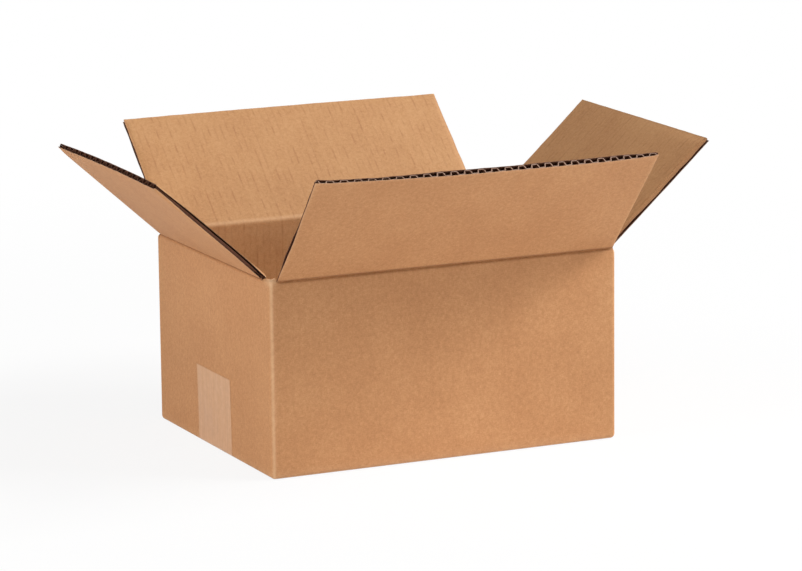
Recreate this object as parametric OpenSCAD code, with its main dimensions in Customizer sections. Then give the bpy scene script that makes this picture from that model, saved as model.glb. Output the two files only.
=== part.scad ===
// Open carton of corrugated board: a folded tube of four walls, closed below by
// four flaps under a strip of tape, with four flaps standing open at the top.
// Millimetres. The origin is the centre of the base, +X runs along the front
// wall, +Y goes from front to back and +Z points up.

/* [Box] */
// Length over the outside, along the front wall
box_l = 211; // [160:1:320]
// Width over the outside, from front to back
box_w = 164; // [120:1:200]
// Height from the base to the score lines of the top flaps
score_h = 109.5; // [80:0.5:220]

/* [Board] */
// Thickness of the board
board_t = 4; // [3.2:0.1:5]
// Thickness of each flat liner
liner_t = 0.45; // [0.3:0.05:0.6]
// Thickness of the wavy sheet between the liners
medium_t = 0.35; // [0.25:0.05:0.5]
// Length of one wave of the wavy sheet
flute_pitch = 8; // [6:0.1:10]
// Width of the glue line where a wave's crest meets a liner
glue_w = 1; // [0.6:0.1:1.6]
// Where the first wave starts, counted from the left end of the front wall
flute_start = 1.2; // [0:0.1:8]
// Outer radius of the upright folds and of the folds round the base
fold_r = 2.5; // [1:0.1:4]

/* [Top flaps] */
// Front flap at rest, in degrees outward from upright
front_open = 41.5; // [0:0.5:120]
// Back flap at rest, in degrees outward from upright
back_open = 48; // [0:0.5:120]
// Left flap at rest, in degrees outward from upright
left_open = 48; // [0:0.5:120]
// Right flap at rest, in degrees outward from upright
right_open = 49; // [0:0.5:120]
// Angle from upright at which an opening flap binds on the wall
open_limit = 130; // [125:1:140]
// Gap between the two long flaps when they are shut
seam_gap = 0.8; // [0.4:0.1:3]
// Clearance between a flap and the board next to it at the score
fold_gap = 0.15; // [0.1:0.01:0.3]
// Thickness left in the crushed score of a short flap
score_t = 0.6; // [0.4:0.05:1]
// Length of crushed board on each side of a score
crush_len = 8; // [6:0.5:12]

/* [Slots] */
// Cut at the left end of the front flap, in from the end of the wall
front_cut_left = 4.6; // [2:0.1:10]
// Cut at the right end of the front flap
front_cut_right = 2.3; // [2:0.1:10]
// Cut at the left end of the back flap, seen from behind
back_cut_left = 6.2; // [2:0.1:10]
// Cut at the right end of the back flap, seen from behind
back_cut_right = 3.9; // [2:0.1:10]
// Gap left beside a short flap where it shuts between the long walls
side_gap = 0.4; // [0.3:0.1:1]
// Board cut away past that gap at the front end of the left flap
left_extra = 6.2; // [0:0.1:10]
// Board cut away past that gap at the back end of the right flap
right_extra = 5.4; // [2.5:0.1:10]

/* [Bottom flaps] */
// Gap between the two long bottom flaps
bottom_seam = 1; // [0.5:0.1:4]
// Air between the outer and the inner bottom flaps
layer_gap = 0.2; // [0.1:0.05:0.5]

/* [Glued joint] */
// Width of the tab that joins the ends of the sheet
tab_w = 32; // [20:1:40]
// Thickness of the tab, pressed thinner than the board
tab_t = 2; // [1:0.1:2.2]
// How much each end of the tab slopes back over its width
tab_slope = 6; // [0:0.5:15]

/* [Tape] */
// Width of the tape
tape_w = 48; // [24:1:72]
// Thickness of the tape
tape_t = 0.15; // [0.05:0.01:0.25]
// Height that the tape reaches up each end of the box
tape_up = 42.5; // [20:0.5:70]
// Distance of the tape from the middle of the end, towards the back
tape_off = 2; // [-8:0.5:8]
// Sideways drift of the tape over its height on the end walls
tape_lean = 1; // [0:0.1:3]
// Width of one tooth of the cut ends
tooth_w = 1.6; // [1:0.1:3]
// Depth of one tooth of the cut ends
tooth_d = 0.7; // [0.3:0.1:1.5]

/* [Hidden] */
$fn = 48;

kraft = [0.76, 0.57, 0.38];
kraft_light = [0.80, 0.61, 0.42];
tape_tan = [0.80, 0.63, 0.50];

// Angle at which an axis puts the flap's outer face on the wall's score line
fit_angle = 45;
// Slope of the mitre between a short flap and its wall
mitre = 45;
// Length by which one cutter runs past the faces that it cuts
past = 1;

// Long flaps turn about a full-round end and shut on top of the walls. Short
// flaps turn about their crushed outer liner and shut inside, just below them.
long_nose = board_t / 2;
short_nose = score_t / 2;
long_up = long_nose + fold_gap;
short_up = -(short_nose + fold_gap);

// Depth of a flap's axis behind the wall's outer face
function axis_in(nose, up) = (nose - up * sin(fit_angle)) / cos(fit_angle);
long_in = axis_in(long_nose, long_up);
short_in = axis_in(short_nose, short_up);

// Length from a flap's axis to its free edge
long_reach = box_w / 2 - long_in - seam_gap / 2;
short_reach = box_w / 2 + short_in * sin(fit_angle) - short_up * cos(fit_angle);

short_cut = board_t + side_gap;
bottom_reach = box_w / 2 - bottom_seam / 2;
inner_floor = 2 * board_t + layer_gap;

// One row for each top flap, with the ends named as seen from outside:
// turn of the wall, wall distance, wall length, rest angle, cut left, cut right
front_row = [0, box_w / 2, box_l, front_open, front_cut_left, front_cut_right];
back_row = [180, box_w / 2, box_l, back_open, back_cut_left, back_cut_right];
left_row = [-90, box_l / 2, box_w, left_open, short_cut, short_cut + left_extra];
right_row = [90, box_l / 2, box_w, right_open, short_cut, short_cut + right_extra];

// Places children in a wall's own frame: x along the wall, y inward from its
// outer face, z up from its score line.
module at_wall(row) {
    rotate([0, 0, row[0]])
        translate([0, -row[1], score_h])
            children();
}

// Extrudes an upright profile, drawn as depth and height, along the wall.
module along_wall(from, to) {
    translate([from, 0, 0])
        rotate([90, 0, 90])
            linear_extrude(to - from)
                children();
}

module rounded_rect(l, w, r) {
    square([l - 2 * r, w], center = true);
    square([l, w - 2 * r], center = true);
    for (x = [-1, 1], y = [-1, 1])
        translate([x * (l / 2 - r), y * (w / 2 - r)])
            circle(r);
}

// Outline of the box seen from one side, with its lower corners rounded. It
// runs on above the score line, where the plan of the box ends it.
module side_outline(w) {
    translate([0, score_h / 2 + fold_r])
        rounded_rect(w, score_h + 2 * fold_r, fold_r);
}

// Where two lines meet, each given by its unit normal and distance
function meet(n1, d1, n2, d2) =
    [d1 * n2[1] - d2 * n1[1], n1[0] * d2 - n2[0] * d1] / (n1[0] * n2[1] - n1[1] * n2[0]);

// What the score takes off the wall's top edge: below the axis the wall keeps
// clear of the flap's outer face at the opening limit, and of its slope when shut.
module score_cut(nose, in, up, slope) {
    clear = nose + fold_gap;
    open_n = [-cos(open_limit), -sin(open_limit)];
    shut_n = [-sin(slope), -cos(slope)];
    apex = meet(open_n, clear, shut_n, clear);
    outer = (clear + open_n[0] * in) / open_n[1];
    inner = (clear - shut_n[0] * (board_t - in)) / shut_n[1];
    translate([in, up])
        polygon([
            [-in - past, outer], [-in, outer], apex, [board_t - in, inner],
            [board_t - in + past, inner], [board_t - in + past, board_t], [-in - past, board_t]
        ]);
}

// A flap without its flutes, upright, with its axis at the origin: the nose
// turns in the score and the inner face slopes out to the full thickness.
module flap_sheet(from, to, nose, slope, reach) {
    full = slope > 0 ? ((board_t - nose) * cos(slope) - nose) / sin(slope) : 0;
    along_wall(from, to)
        circle(nose);
    along_wall(from, to)
        polygon(concat(
            [[-nose, 0], [-nose, reach], [board_t - nose, reach], [board_t - nose, full]],
            slope > 0 ? [[nose * cos(slope), -nose * sin(slope)]] : []
        ));
}

// One open channel between the wavy sheet and a liner, centred at the origin
// on its deep point. side is 1 for the channels on one face, -1 on the other.
module flute_channel(side) {
    amp = board_t / 2 - liner_t - medium_t / 2;
    steps = 8;
    half = (flute_pitch - glue_w) / 2;
    wave = [
        for (i = [0 : steps])
            let (x = -half + 2 * half * i / steps,
                 turn = 360 * x / flute_pitch,
                 steep = amp * 2 * PI / flute_pitch * sin(turn))
            [x, side * (-amp * cos(turn) + medium_t / 2 * sqrt(1 + steep * steep))]
    ];
    top = side * (board_t / 2 - liner_t);
    polygon(concat(wave, [[half, top], [-half, top]]));
}

// All channels over a flap's width, drawn across the wall and through the board
module flute_channels(from, to, first) {
    for (k = [floor((from - first) / flute_pitch) : ceil((to - first) / flute_pitch)]) {
        translate([first + k * flute_pitch, 0])
            flute_channel(1);
        translate([first + (k + 0.5) * flute_pitch, 0])
            flute_channel(-1);
    }
}

// One top flap with its flutes running from the crushed score to the free edge.
// along is the distance round the sheet from the front wall's left end.
module top_flap(row, nose, in, up, slope, reach, along) {
    from = -row[2] / 2 + row[4];
    to = row[2] / 2 - row[5];
    first = flute_start - along - row[2] / 2;
    at_wall(row)
        translate([0, in, up])
            rotate([row[3], 0, 0])
                difference() {
                    flap_sheet(from, to, nose, slope, reach);
                    translate([0, board_t / 2 - nose, crush_len])
                        linear_extrude(reach)
                            flute_channels(from, to, first);
                }
}

// The score's cut in one wall, a side gap wider than the flap at each end
module wall_cut(row, nose, in, up, slope) {
    at_wall(row)
        along_wall(-row[2] / 2 + row[4] - side_gap, row[2] / 2 - row[5] + side_gap)
            score_cut(nose, in, up, slope);
}

// Outer form of the folded tube, down to the rounded folds round the base
module box_form() {
    intersection() {
        linear_extrude(score_h)
            rounded_rect(box_l, box_w, fold_r);
        rotate([90, 0, 90])
            translate([0, 0, -box_l / 2])
                linear_extrude(box_l)
                    side_outline(box_w);
        rotate([90, 0, 0])
            translate([0, 0, -box_w / 2])
                linear_extrude(box_w)
                    side_outline(box_l);
    }
}

module walls() {
    linear_extrude(score_h)
        difference() {
            square([box_l, box_w], center = true);
            square([box_l - 2 * board_t, box_w - 2 * board_t], center = true);
        }
}

// Long outer flaps that meet under the tape, and short inner flaps above them
module bottom_flaps() {
    in_l = box_l - 2 * board_t;
    in_w = box_w - 2 * board_t;
    for (y = [-1, 1])
        translate([-in_l / 2 + side_gap, y > 0 ? bottom_seam / 2 : -in_w / 2 - board_t / 2, 0])
            cube([in_l - 2 * side_gap, in_w / 2 + board_t / 2 - bottom_seam / 2, board_t]);
    for (x = [-1, 1])
        translate([x > 0 ? box_l / 2 - bottom_reach : -box_l / 2 + board_t / 2,
                   -in_w / 2 + side_gap, board_t + layer_gap])
            cube([bottom_reach - board_t / 2, in_w - 2 * side_gap, board_t]);
}

// Tab from the right wall, glued inside the back wall
module glue_tab() {
    low = inner_floor + past;
    high = score_h - board_t - crush_len / 2;
    right = box_l / 2 - board_t / 2;
    left = box_l / 2 - board_t - tab_w;
    translate([0, box_w / 2 - board_t / 2, 0])
        rotate([90, 0, 0])
            linear_extrude(tab_t + board_t / 2)
                polygon([[right, low], [right, high], [left, high - tab_slope], [left, low + tab_slope]]);
}

// Outline of the taped strip on an end wall, with toothed cut edges
module tape_outline() {
    teeth = round(tape_w / tooth_w);
    pitch = tape_w / teeth;
    near = tape_off - tape_w / 2;
    far = tape_off + tape_w / 2;
    bend = fold_r + tape_t;
    polygon(concat(
        [[far, bend], [far, -past], [near, -past], [near, bend]],
        [for (i = [0 : 2 * teeth])
            [near + tape_lean + i * pitch / 2, tape_up - (i % 2) * tooth_d]]
    ));
}

module tape_band() {
    translate([-box_l / 2 - past, tape_off - tape_w / 2, -past])
        cube([box_l + 2 * past, tape_w, fold_r + tape_t + past]);
}

// Outline of the strip seen from the front: a shallow U round the base
module tape_wrap(grow) {
    translate([0, tape_t + score_h / 2])
        rounded_rect(box_l + 2 * grow, score_h + 2 * grow, fold_r + grow);
}

module carton_body() {
    color(kraft)
        difference() {
            intersection() {
                box_form();
                union() {
                    walls();
                    bottom_flaps();
                    glue_tab();
                }
            }
            for (row = [front_row, back_row])
                wall_cut(row, long_nose, long_in, long_up, 0);
            for (row = [left_row, right_row])
                wall_cut(row, short_nose, short_in, short_up, mitre);
            difference() {
                tape_band();
                rotate([90, 0, 0])
                    translate([0, 0, -box_w / 2])
                        linear_extrude(box_w)
                            tape_wrap(0);
            }
        }
}

module front_flap() {
    color(kraft_light)
        top_flap(front_row, long_nose, long_in, long_up, 0, long_reach, 0);
}

module right_flap() {
    color(kraft_light)
        top_flap(right_row, short_nose, short_in, short_up, mitre, short_reach, box_l);
}

module back_flap() {
    color(kraft_light)
        top_flap(back_row, long_nose, long_in, long_up, 0, long_reach, box_l + box_w);
}

module left_flap() {
    color(kraft_light)
        top_flap(left_row, short_nose, short_in, short_up, mitre, short_reach, 2 * box_l + box_w);
}

module sealing_tape() {
    color(tape_tan)
        intersection() {
            rotate([90, 0, 0])
                translate([0, 0, -box_w / 2])
                    linear_extrude(box_w)
                        difference() {
                            tape_wrap(tape_t);
                            tape_wrap(0);
                        }
            rotate([90, 0, 90])
                translate([0, 0, -box_l / 2 - past])
                    linear_extrude(box_l + 2 * past)
                        tape_outline();
        }
}

carton_body();
front_flap();
back_flap();
left_flap();
right_flap();
sealing_tape();
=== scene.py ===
import math

import bpy
import numpy as np
from mathutils import Matrix, Vector, noise


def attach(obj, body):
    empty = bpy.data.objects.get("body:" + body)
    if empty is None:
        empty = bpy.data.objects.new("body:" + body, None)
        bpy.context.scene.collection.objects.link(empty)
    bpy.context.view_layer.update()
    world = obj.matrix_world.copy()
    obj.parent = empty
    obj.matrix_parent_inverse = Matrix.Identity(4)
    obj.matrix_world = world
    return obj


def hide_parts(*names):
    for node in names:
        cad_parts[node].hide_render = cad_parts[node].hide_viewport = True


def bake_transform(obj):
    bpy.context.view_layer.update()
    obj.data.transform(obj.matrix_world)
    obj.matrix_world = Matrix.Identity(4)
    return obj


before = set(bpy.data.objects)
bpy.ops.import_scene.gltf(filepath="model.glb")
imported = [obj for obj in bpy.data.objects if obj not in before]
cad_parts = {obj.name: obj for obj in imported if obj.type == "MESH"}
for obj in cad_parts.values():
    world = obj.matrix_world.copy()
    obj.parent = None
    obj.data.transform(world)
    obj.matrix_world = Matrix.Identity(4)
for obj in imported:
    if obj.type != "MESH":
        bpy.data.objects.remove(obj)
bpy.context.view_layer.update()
scene = bpy.context.scene
scene.view_settings.view_transform = "Standard"

# Camera at the photograph's place: a long lens some two metres away, a little
# above the carton and turned towards its left front corner.
camera_turn = 0.43416
camera_rise = 0.20133
camera_roll = -0.01106
camera_distance = 2.32569
camera_slide = (0.00941225, 0.02792776)
focal_length_px = 4084.106
picture_width_px = 802
sensor_mm = 36
aim = Vector((0, 0, 0.05475))

toward_camera = Vector((
    -math.sin(camera_turn) * math.cos(camera_rise),
    -math.cos(camera_turn) * math.cos(camera_rise),
    math.sin(camera_rise),
))
level_right = (-toward_camera).cross(Vector((0, 0, 1))).normalized()
level_up = level_right.cross(-toward_camera)
right = level_right * math.cos(camera_roll) + level_up * math.sin(camera_roll)
up = level_up * math.cos(camera_roll) - level_right * math.sin(camera_roll)
lens = bpy.data.cameras.new("camera")
lens.sensor_width = sensor_mm
lens.lens = focal_length_px * sensor_mm / picture_width_px
lens.clip_end = 60
camera = bpy.data.objects.new("camera", lens)
scene.collection.objects.link(camera)
camera.matrix_world = Matrix.Translation(
    aim + toward_camera * camera_distance + right * camera_slide[0] + up * camera_slide[1]
) @ Matrix((right, up, toward_camera)).transposed().to_4x4()
scene.camera = camera

# Kraft paper: brown liner with soft blotches and short fibres, a darker brown
# for the wavy sheet inside, the liners' hidden backs and the cut edges, partly as
# painted shade for the hollows in the board, and faint lines where the waves are
# glued to it.
wave_length = 8.0
first_wave = 1.2


class Wire:
    """A value, colour or vector in a node tree, with the usual arithmetic for values."""

    def __init__(self, tree, socket=None):
        self.tree = tree
        self.socket = socket

    def node(self, kind, settings=(), inputs=(), output=0):
        """Adds a node, sets it up, joins or sets its inputs, and gives one of its outputs."""
        made = self.tree.nodes.new(kind)
        for name, value in dict(settings).items():
            if name == "stops":
                ramp = made.color_ramp
                while len(ramp.elements) < len(value):
                    ramp.elements.new(1)
                for element, (place, colour) in zip(ramp.elements, value):
                    element.position = place
                    element.color = colour
            else:
                setattr(made, name, value)
        for name, value in dict(inputs).items():
            if isinstance(value, Wire):
                self.tree.links.new(value.socket, made.inputs[name])
            else:
                made.inputs[name].default_value = value
        return Wire(self.tree, made.outputs[output] if len(made.outputs) else None)

    def maths(self, operation, first, second=0.0):
        return self.node("ShaderNodeMath", {"operation": operation}, {0: first, 1: second})

    def __add__(self, other):
        return self.maths("ADD", self, other)

    __radd__ = __add__

    def __sub__(self, other):
        return self.maths("SUBTRACT", self, other)

    def __rsub__(self, other):
        return self.maths("SUBTRACT", other, self)

    def __mul__(self, other):
        return self.maths("MULTIPLY", self, other)

    __rmul__ = __mul__

    def __truediv__(self, other):
        return self.maths("DIVIDE", self, other)

    def __pow__(self, other):
        return self.maths("POWER", self, other)

    def ramp(self, low, high):
        """0 below low, 1 above high and smooth between them."""
        settings = {"interpolation_type": "SMOOTHSTEP"}
        return self.node("ShaderNodeMapRange", settings, {"Value": self, "From Min": low, "From Max": high})

    def noise(self, place, scale, detail=2.0, roughness=0.5):
        sizes = {"Vector": place, "Scale": scale, "Detail": detail, "Roughness": roughness}
        return self.node("ShaderNodeTexNoise", (), sizes)

    def stretched(self, place, sizes, turn=0.0):
        """place with its axes stretched, so that a pattern of size 1 gets those sizes."""
        return self.node("ShaderNodeMapping", (), {
            "Vector": place,
            "Rotation": (0, 0, turn),
            "Scale": tuple(1 / size for size in sizes),
        })

    def bump(self, height, strength, distance):
        sizes = {"Strength": strength, "Distance": distance, "Height": height}
        return self.node("ShaderNodeBump", (), sizes, "Normal")

    def mix(self, share, colour, other):
        return self.node("ShaderNodeMix", {"data_type": "RGBA"}, {0: share, 6: colour, 7: other}, 2)


def rgb(red, green, blue):
    """A colour given as it shows on a screen, from 0 to 255, as Blender's linear colour."""
    linear = [
        c / 12.92 if c <= 0.04045 else ((c + 0.055) / 1.055) ** 2.4
        for c in (red / 255, green / 255, blue / 255)
    ]
    return (*linear, 1)


def bare_material(name):
    """A material with no nodes yet, and a wire to build them with."""
    material = bpy.data.materials.new(name)
    material.use_nodes = True
    material.node_tree.nodes.clear()
    return material, Wire(material.node_tree)


# Tones for the per-point attribute: a pale scuff tone that also serves as painted highlight, and a brown of
# painted shade.
scuff_and_painted_highlight = rgb(232, 190, 148)
painted_shade_brown = rgb(112, 68, 38)


def kraft(name, tone, deep, pale, lines=0.0, grain=1.0):
    """Matt brown paper: blotches, fibres, broken lines along the waves, and pale scuffs, painted highlights
    and painted shade from a per-point attribute.
    """
    material, wire = bare_material(name)
    place = wire.node("ShaderNodeTexCoord", (), (), "Object")
    sheet = wire.node("ShaderNodeUVMap", {"uv_map": "sheet"})
    wear = wire.node("ShaderNodeAttribute", {"attribute_name": "wear"}, (), "Fac")
    across = wire.node("ShaderNodeSeparateXYZ", (), {0: sheet}, 0)

    cloud = wire.noise(place, 34, 2)
    blotch = wire.noise(place, 520, 3, 0.6)
    fleck = wire.noise(place, 1500, 2, 0.6)
    fibre = wire.noise(wire.stretched(sheet, (0.0022, 0.0004, 1), 0.15), 1, 2)
    cross_fibre = wire.noise(wire.stretched(sheet, (0.0004, 0.0018, 1), -0.2), 1, 2)
    shade = 0.5 + 0.22 * (cloud - 0.5) + 0.42 * (blotch - 0.5) * grain + 0.36 * (fleck - 0.5) * grain
    shade = shade + 0.3 * (fibre - 0.5) * grain + 0.24 * (cross_fibre - 0.5) * grain
    paper = wire.node("ShaderNodeValToRGB", {"stops": [(0.2, deep), (0.5, tone), (0.8, pale)]}, {0: shade})

    wave = wire.maths("COSINE", (across - first_wave * 0.001) * (2000 * math.pi / wave_length))
    line = (0.5 + 0.5 * wave) ** 20 * 0.6 + (0.5 - 0.5 * wave) ** 20
    broken = wire.noise(wire.stretched(sheet, (0.0036, 0.012, 1)), 1, 2, 0.6).ramp(0.42, 0.64)
    marks = line * broken * lines
    paper = wire.mix(marks, paper, deep)
    # Positive values lighten the paper with scuffs and painted highlights, negative ones darken it with
    # painted shade.
    paper = wire.mix(wire.maths("MAXIMUM", wear, 0.0) * (0.45 + 0.7 * blotch), paper, scuff_and_painted_highlight)
    paper = wire.mix(wire.maths("MAXIMUM", 0 - wear, 0.0) * (0.7 + 0.4 * blotch), paper, painted_shade_brown)

    height = fibre * 0.4 + cross_fibre * 0.3 + blotch * 0.5 - marks * 0.8
    surface = wire.node("ShaderNodeBsdfPrincipled", (), {
        "Base Color": paper,
        "Roughness": 0.78 - 0.12 * blotch,
        "Specular IOR Level": 0.4,
        "Normal": wire.bump(height, 0.14, 0.0003),
    })
    wire.node("ShaderNodeOutputMaterial", (), {"Surface": surface})
    return material


outside_kraft = kraft("kraft outside", rgb(196, 141, 94), rgb(173, 118, 74), rgb(217, 165, 116), 0.12)
inside_kraft = kraft("kraft inside", rgb(188, 139, 92), rgb(155, 103, 62), rgb(207, 161, 113), 0.5, 0.75)
# The medium and cut-edge browns are darker than the paper, partly as painted shade for the hollows inside
# the board.
wavy_kraft_with_painted_shade = kraft("kraft medium", rgb(98, 58, 38), rgb(66, 37, 23), rgb(134, 88, 60))
cut_kraft_with_painted_shade = kraft("kraft cut edge", rgb(104, 66, 46), rgb(72, 42, 28), rgb(140, 98, 70), 0.0, 1.6)
tick_kraft = kraft("kraft wave end", rgb(146, 116, 98), rgb(112, 82, 66), rgb(172, 142, 122), 0.0, 1.6)
papers = [outside_kraft, inside_kraft, wavy_kraft_with_painted_shade, cut_kraft_with_painted_shade, tick_kraft]
OUTSIDE, INSIDE, WAVY, CUT, TICK = range(5)

# Walls: one sheet of corrugated board folded into a tube, its ends joined by a
# glued tab inside the right back corner. The liners are two separate sheets
# with the wavy sheet between them, which shows at the slots.
length = 211.0
width = 164.0
score = 109.5
board = 4.0
liner = 0.22
fold_radius = 2.5
side_gap = 0.4
# Where the scores' own strips of liner begin below the score, outside and inside
strip_low = 3.0
strip_low_inside = 4.3
wall_hollow = 0.35
tape_half = 24.0
tape_shift = -1.4
tape_film = 0.15
# Each wall's turn about Z, half its length, its distance from the middle, and how
# far its flap's two slots reach from the folds
walls = {
    "front": {"turn": 0, "half": length / 2, "away": width / 2, "cuts": (4.6, 2.3)},
    "right": {"turn": 90, "half": width / 2, "away": length / 2, "cuts": (4.4, 9.8)},
    "back": {"turn": 180, "half": length / 2, "away": width / 2, "cuts": (6.2, 3.9)},
    "left": {"turn": -90, "half": width / 2, "away": length / 2, "cuts": (4.4, 10.6)},
}
girth = 0.0
for wall in walls.values():
    wall["start"] = girth
    girth += 2 * wall["half"]


def stack(*parts):
    return np.stack(np.broadcast_arrays(*parts), axis=-1).astype(float)


def in_wall(wall, x, depth, z):
    """World points from a wall's own frame: x along it, depth into it, z from the base."""
    turn = math.radians(wall["turn"])
    y = depth - wall["away"]
    return stack(x * math.cos(turn) - y * math.sin(turn), x * math.sin(turn) + y * math.cos(turn), z)


def round_tube(u, inset, z):
    """Points of the folded tube at distance u round the sheet and inset below its outer face."""
    u, inset, z = np.broadcast_arrays(u, inset, z)
    points = np.zeros(u.shape + (3,))
    for wall in walls.values():
        x = (u - wall["start"]) % girth - wall["half"]
        mine = np.abs(x) <= wall["half"] + 1e-9
        side = np.sign(x)
        past = np.clip((np.abs(x) - (wall["half"] - fold_radius)) / fold_radius, 0, 1)
        angle = past * math.pi / 4
        radius = fold_radius - inset
        bent_x = side * (wall["half"] - fold_radius + radius * np.sin(angle))
        bent_depth = fold_radius - radius * np.cos(angle)
        bent = (past > 0) & (inset <= fold_radius)
        sharp_x = side * np.minimum(np.abs(x), wall["half"] - inset)
        local_x = np.where(bent, bent_x, np.where(inset > fold_radius, sharp_x, x))
        depth = np.where(bent, bent_depth, inset)
        points = np.where(mine[..., None], in_wall(wall, local_x, depth, z), points)
    return points


def ripple(u, glued_at, depth=0.07):
    """How far a liner sinks between the glue lines of the waves behind it."""
    return depth * (0.5 - 0.5 * np.cos(2 * math.pi * (u - glued_at) / wave_length))


def wander(values, scale, seed):
    """Smooth noise from -1 to 1 for each value, the same at every run."""
    flat = [noise.noise(Vector((v * scale, seed * 7.3, seed * 1.7))) for v in np.ravel(values)]
    return np.array(flat).reshape(np.shape(values)) * 1.6


def leaf(face, reverse, u, v, wear, finishes, keep=None):
    """A sheet of paper from the grids of points on its two faces, closed at its edges."""
    rows, columns = face.shape[:2]
    if keep is None:
        keep = np.ones((rows - 1, columns - 1), bool)
    index = np.arange(rows * columns).reshape(rows, columns)
    far = rows * columns
    across = face[:-1, 1:] - face[:-1, :-1]
    along = face[1:, :-1] - face[:-1, :-1]
    facing = np.einsum("ijk,ijk->ij", np.cross(across, along), (face - reverse)[:-1, :-1])
    turned = facing[keep].sum() < 0
    faces = []
    slots = []

    def add(corners, slot):
        faces.append(corners[::-1] if turned else corners)
        slots.append(slot)

    for r, c in zip(*np.nonzero(keep)):
        ring = [int(index[r, c]), int(index[r, c + 1]), int(index[r + 1, c + 1]), int(index[r + 1, c])]
        add(ring, finishes[0])
        add([corner + far for corner in ring[::-1]], finishes[1])
        beside = [(r - 1, c), (r, c + 1), (r + 1, c), (r, c - 1)]
        for k, (other_r, other_c) in enumerate(beside):
            inside = 0 <= other_r < rows - 1 and 0 <= other_c < columns - 1
            if inside and keep[other_r, other_c]:
                continue
            start = ring[k]
            end = ring[(k + 1) % 4]
            add([end, start, start + far, end + far], finishes[2])
    u, v, wear = (np.broadcast_to(part, (rows, columns)).ravel() for part in (u, v, wear))
    return {
        "points": np.concatenate([face.reshape(-1, 3), reverse.reshape(-1, 3)]),
        "faces": faces,
        "slots": slots,
        "sheet": np.tile(stack(u, v), (2, 1)),
        "wear": np.tile(wear, 2),
    }


sharp_angle = math.radians(35)


def piece(name, sheets, finishes):
    """One mesh object from several sheets of paper, in metres."""
    points = np.concatenate([sheet["points"] for sheet in sheets]) * 0.001
    flat = np.concatenate([sheet["sheet"] for sheet in sheets]) * 0.001
    wear = np.concatenate([sheet["wear"] for sheet in sheets])
    faces = []
    slots = []
    shift = 0
    for sheet in sheets:
        faces += [[corner + shift for corner in corners] for corners in sheet["faces"]]
        slots += sheet["slots"]
        shift += len(sheet["points"])
    used = np.unique(np.concatenate([np.array(corners) for corners in faces]))
    fresh = np.full(len(points), -1)
    fresh[used] = np.arange(len(used))
    faces = [[int(fresh[corner]) for corner in corners] for corners in faces]
    mesh = bpy.data.meshes.new(name)
    mesh.from_pydata(points[used].tolist(), [], faces)
    for finish in finishes:
        mesh.materials.append(finish)
    mesh.polygons.foreach_set("material_index", slots)
    corner_points = np.zeros(len(mesh.loops), int)
    mesh.loops.foreach_get("vertex_index", corner_points)
    layer = mesh.uv_layers.new(name="sheet")
    layer.data.foreach_set("uv", flat[used][corner_points].ravel().astype(np.float32))
    attribute = mesh.attributes.new("wear", "FLOAT", "POINT")
    attribute.data.foreach_set("value", wear[used].astype(np.float32))
    mesh.polygons.foreach_set("use_smooth", [True] * len(mesh.polygons))
    mesh.set_sharp_from_angle(angle=sharp_angle)
    mesh.update()
    made = bpy.data.objects.new(name, mesh)
    scene.collection.objects.link(made)
    return made


wave_steepness = 7.0
# How far from the cut the wavy sheet's end is torn, in metres
torn_depth = 0.003


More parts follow.
